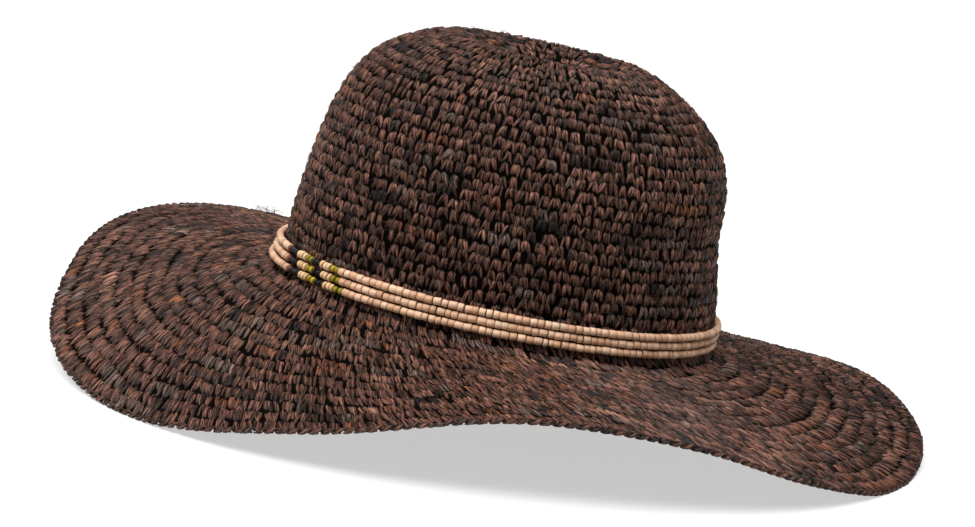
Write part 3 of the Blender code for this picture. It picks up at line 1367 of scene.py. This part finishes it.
@dataclass
class Hatband:
    """Three strings of beads round the foot of the crown, each on its own thread."""

    form: HatForm
    wood: bpy.types.Material
    glass: bpy.types.Material
    cotton: bpy.types.Material
    seed: int = 31
    bead_diameter: float = 3.6 * MM
    strand_gap: float = 0.4 * MM
    strand_clearance: float = 0.4 * MM
    band_rise: float = 5.5 * MM
    band_tilt: float = 3.5 * MM
    spread_gap: float = 0.3 * MM
    spread_angle: float = math.radians(-165)
    accent_angles: tuple[float, ...] = (-154.7, -157.3, -158.6)
    joint_gap: float = 0.09 * MM
    sides: int = 10
    thread_sides: int = 6
    path_points: int = 240
    thread_radius: float = 0.45 * MM
    bead_tilt: float = 0.10 * MM
    # Profile rings under rim_share are painted darker: painted shade on a bead's ends.
    rim_share: float = 0.9
    painted_rim_shade: float = 0.62
    levels: tuple[str, ...] = ("lower", "middle", "upper")

    def strand_path(self, level: int) -> np.ndarray:
        """The closed line of one string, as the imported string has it.

        At each plan angle a line is drawn beside the wall, clear of the fabric and of the rounded
        corner, and the string lies on it at its level's distance from the foot.

        Args:
            level: 0 for the lowest string.

        Returns:
            Points, the last one the same as the first.
        """
        form = self.form
        lower = np.linspace(1, 0.5, 101)
        small_turn = 1e-4
        path = []
        for angle in np.linspace(-math.pi, math.pi, self.path_points, endpoint=False):
            wall = form.crown(lower, np.full_like(lower, angle))
            aside = form.crown(lower, np.full_like(lower, angle + small_turn)) - wall
            outward = normalised(np.cross(aside, np.gradient(wall, axis=0)))
            climb = run_length(wall)
            corner = form.corner_radius * np.maximum(1 - np.sqrt(climb / form.corner_radius), 0) ** 2
            clear = form.fabric / 2 + self.strand_clearance + self.bead_diameter / 2 + corner
            line = wall + outward * clear[:, None]
            reach = run_length(line)
            rise = self.band_rise + self.band_tilt * (1 + math.cos(angle)) / 2
            spread = self.spread_gap * ((1 + math.cos(angle - self.spread_angle)) / 2) ** 4
            pitch = self.bead_diameter + self.strand_gap + spread
            place = np.interp(rise, climb, reach) + level * pitch
            path.append([np.interp(place, reach, axis) for axis in line.T])
        path.append(path[0])
        return np.array(path)

    def bead_row(
        self, path: np.ndarray, accent_angle: float, rng: np.random.Generator
    ) -> list[tuple[BeadKind, float]]:
        """The beads of one string in order from the -X end, with their lengths.

        The accent beads lie from the accent angle on, and tube beads of uneven length fill the
        rest, evenly stretched to close the loop.

        Args:
            path: the string's line.
            accent_angle: plan angle in degrees where the accent beads begin.
            rng: the random numbers.

        Returns:
            Kind and length of each bead.
        """
        lengths = run_length(path)
        angles = np.linspace(-180, 180, len(path))
        accent_start = float(np.interp(accent_angle, angles, lengths))
        accents = [kind for kind, number in ACCENT_BEADS for _ in range(number)]
        accent_run = sum(kind.length for kind in accents)
        before = self.tube_lengths(accent_start, rng)
        after = self.tube_lengths(lengths[-1] - accent_start - accent_run, rng)
        row = [(TUBE_BEAD, length) for length in before]
        row += [(kind, kind.length) for kind in accents]
        row += [(TUBE_BEAD, length) for length in after]
        return row

    def tube_lengths(self, run: float, rng: np.random.Generator) -> np.ndarray:
        """Uneven bead lengths that fill a run exactly.

        Args:
            run: the length to fill.
            rng: the random numbers.

        Returns:
            One length for each bead.
        """
        lengths = TUBE_LENGTH.draw(rng, round(run / TUBE_BEAD.length))
        return lengths * run / lengths.sum()

    def beads(
        self, path: np.ndarray, row: list[tuple[BeadKind, float]], rng: np.random.Generator
    ) -> dict[bool, tuple[np.ndarray, np.ndarray]]:
        """Turns every bead of one string about its piece of the line.

        A bead's axis joins the line's points at its two ends, with a small tilt, and its profile
        turns about that axis. Its ends are painted darker: painted shade in the joints between beads.

        Args:
            path: the string's line.
            row: kind and length of each bead.
            rng: the random numbers.

        Returns:
            For wood (False) and glass (True): vertex places and their colours.
        """
        lengths = run_length(path)
        ends = np.concatenate([[0], np.cumsum([length for _, length in row])])
        stations = np.stack([np.interp(ends, lengths, axis) for axis in path.T], axis=1)
        count = len(row)
        tilt = rng.normal(0, self.bead_tilt, (count, 2, 3))
        first = stations[:-1] + tilt[:, 0]
        last = stations[1:] + tilt[:, 1]
        axis = normalised(last - first)
        first = first + axis * self.joint_gap / 2
        last = last - axis * self.joint_gap / 2
        arm = self.spokes(axis, self.sides)
        profile = np.array([kind.shape.value for kind, _ in row])
        place, share = profile[..., 0], profile[..., 1]
        radius = np.array([kind.diameter for kind, _ in row]) / 2
        radius = radius * BEAD_WIDTH.draw(rng, count)
        centre = first[:, None] + (last - first)[:, None] * place[..., None]
        reach = radius[:, None] * share
        points = centre[:, :, None] + arm[:, None] * reach[:, :, None, None]
        picked = [linear(kind.colours[rng.integers(len(kind.colours))]) for kind, _ in row]
        tint = np.array(picked) * BEAD_TONE.draw(rng, (count, 1))
        # Painted shade on the bead's ends, in the joints between beads.
        shade = np.where(share < self.rim_share, self.painted_rim_shade, 1.0)
        colours = tint[:, None, None] * shade[:, :, None, None] * np.ones((1, 1, self.sides, 1))
        glass = np.array([kind.glass for kind, _ in row])
        return {made: (points[glass == made], colours[glass == made]) for made in (False, True)}

    def spokes(self, axis: np.ndarray, sides: int) -> np.ndarray:
        """Unit vectors square to each axis, evenly spaced about it.

        Args:
            axis: unit vectors that lie nearly level.
            sides: how many spokes each has.

        Returns:
            Axis, spoke and x, y, z.
        """
        across = normalised(np.cross(axis, np.array([0.0, 0.0, 1.0])))
        up = np.cross(across, axis)
        turn = np.arange(sides) / sides * TURN
        return across[:, None] * np.cos(turn)[:, None] + up[:, None] * np.sin(turn)[:, None]

    def bead_piece(
        self, name: str, points: np.ndarray, colours: np.ndarray, finish: bpy.types.Material
    ) -> bpy.types.Object:
        """Makes one piece of drilled beads: each profile closes on itself through the hole.

        Args:
            name: the piece's name.
            points: bead, ring, side and x, y, z.
            colours: linear colours, in the same order.
            finish: the material.

        Returns:
            The piece.
        """
        count, rings, sides = points.shape[:3]
        index = np.arange(count * rings * sides).reshape(count, rings, sides)
        quads = ring_quads(index, np.roll(index, -1, axis=1))
        piece = mesh_piece(name, points.reshape(-1, 3), [quads], finish)
        paint_points(piece, "bead", colours.reshape(-1, 3))
        return piece

    def thread(self, name: str, path: np.ndarray) -> bpy.types.Object:
        """The closed thread through one string: a round section carried along the line.

        Args:
            name: the piece's name.
            path: the string's line, the last point the same as the first.

        Returns:
            The piece.
        """
        line = path[:-1]
        axis = normalised(np.roll(line, -1, axis=0) - np.roll(line, 1, axis=0))
        points = line[:, None] + self.spokes(axis, self.thread_sides) * self.thread_radius
        count, sides = points.shape[:2]
        index = np.arange(count * sides).reshape(count, sides)
        quads = ring_quads(index, np.roll(index, -1, axis=0))
        piece = mesh_piece(name, points.reshape(-1, 3), [quads], self.cotton)
        along = run_length(path) / MM
        side = np.arange(sides + 1) / sides
        corner_u = np.stack([side[:-1], side[:-1], side[1:], side[1:]], axis=-1)
        corner_v = np.stack([along[:-1], along[1:], along[1:], along[:-1]], axis=-1)
        u, v = np.broadcast_arrays(corner_u[None], corner_v[:, None])
        store_uv(piece, "strand", np.stack([u, v], axis=-1).reshape(-1, 2))
        return piece

    def build(self) -> None:
        """Strings the beads of each level, and gathers the glass beads of all three."""
        rng = np.random.default_rng(self.seed)
        glass_points, glass_colours = [], []
        for level, word in enumerate(self.levels):
            path = self.strand_path(level)
            row = self.bead_row(path, self.accent_angles[level], rng)
            made = self.beads(path, row, rng)
            piece = self.bead_piece(f"beads_{word}", *made[False], self.wood)
            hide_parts(f"bead_strand_{word}")
            glass_points.append(made[True][0])
            glass_colours.append(made[True][1])
            self.thread(f"bead_thread_{word}", path)
        self.bead_piece(
            "beads_accent", np.concatenate(glass_points), np.concatenate(glass_colours), self.glass
        )


@dataclass(frozen=True)
class Studio:
    """A plain pale floor, soft light, and a camera at the photograph's angle."""

    image_width: int = 975
    image_height: int = 527
    focal_pixels: float = 3180.0
    target_pixel: tuple[float, float] = (498.5, 295.0)
    target: tuple[float, float, float] = (0.0, 0.0, 0.050)
    camera_distance: float = 1.5
    elevation: float = math.radians(11)
    roll: float = math.radians(7.5)
    sensor: float = 36.0
    floor_radius: float = 14.0
    floor_corners: int = 64
    room_light: float = 0.30
    key_place: tuple[float, float, float] = (-1.3, -1.2, 1.9)
    key_size: float = 1.0
    key_power: float = 24.0
    ceiling_side: tuple[float, float, float] = (-0.15, -0.25, 1.0)
    ceiling_strength: float = 3.9
    ceiling_spread: float = math.radians(60)

    def camera(self) -> None:
        """Looks along +Y from in front, a little from above, with the picture turned clockwise."""
        data = bpy.data.cameras.new("camera")
        data.sensor_width = self.sensor
        data.lens = self.focal_pixels / self.image_width * self.sensor
        data.shift_x = -(self.target_pixel[0] - self.image_width / 2) / self.image_width
        data.shift_y = (self.target_pixel[1] - self.image_height / 2) / self.image_width
        data.clip_end = 4 * self.floor_radius
        obj = add_object("camera", data)
        height = self.target[2] + self.camera_distance * math.sin(self.elevation)
        back = self.target[1] - self.camera_distance * math.cos(self.elevation)
        obj.matrix_world = (
            Matrix.Translation((self.target[0], back, height))
            @ Matrix.Rotation(math.pi / 2 - self.elevation, 4, "X")
            @ Matrix.Rotation(self.roll, 4, "Z")
        )
        bpy.context.scene.camera = obj

    def softbox(self, name: str) -> None:
        """A square area light that faces the hat.

        Args:
            name: the light's name.
        """
        data = bpy.data.lights.new(name, "AREA")
        data.shape = "SQUARE"
        data.size = self.key_size
        data.energy = self.key_power
        aim = Vector(self.key_place) - Vector(self.target)
        facing = aim.to_track_quat("Z", "Y").to_matrix().to_4x4()
        add_object(name, data).matrix_world = Matrix.Translation(self.key_place) @ facing

    def ceiling(self, name: str) -> None:
        """A wide diffuse ceiling panel as a sun with a large angle: even light over all the floor.

        Args:
            name: the light's name.
        """
        data = bpy.data.lights.new(name, "SUN")
        data.energy = self.ceiling_strength
        data.angle = self.ceiling_spread
        facing = Vector(self.ceiling_side).to_track_quat("Z", "Y").to_matrix().to_4x4()
        add_object(name, data).matrix_world = facing

    def build(self) -> None:
        """Lays the floor, lights the scene and places the camera."""
        angles = np.linspace(0, TURN, self.floor_corners, endpoint=False)
        rim = np.stack([np.cos(angles), np.sin(angles), 0 * angles], axis=1) * self.floor_radius
        mesh = bpy.data.meshes.new("studio_floor")
        mesh.from_pydata(rim.tolist(), [], [list(range(len(rim)))])
        mesh.materials.append(StudioFloor().material())
        add_object("studio_floor", mesh)
        world = bpy.data.worlds.new("studio_world")
        world.use_nodes = True
        background = world.node_tree.nodes["Background"]
        set_inputs(
            world.node_tree, background, {"Color": rgba("ffffff"), "Strength": self.room_light}
        )
        bpy.context.scene.world = world
        self.softbox("key_softbox")
        self.ceiling("ceiling_panel")
        self.camera()
        bpy.context.scene.view_settings.view_transform = "Standard"


def main() -> None:
    """Builds the hat's pieces in order and sets up the studio."""
    logging.basicConfig(level=logging.INFO, format="%(name)s: %(message)s")
    form = HatForm()
    surface = FabricSurface(form)
    raffia = DyedRaffia().material()
    fabric = CrochetFabric(surface, raffia, RaffiaCore().material())
    fabric.build()
    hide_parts("crochet_body")
    EdgeRound(surface, raffia).build()
    LooseFibres(surface, raffia).build()
    Hatband(form, SandedWood().material(), SeedGlass().material(), WaxedCotton().material()).build()
    Studio().build()


if __name__ == "__main__":
    main()
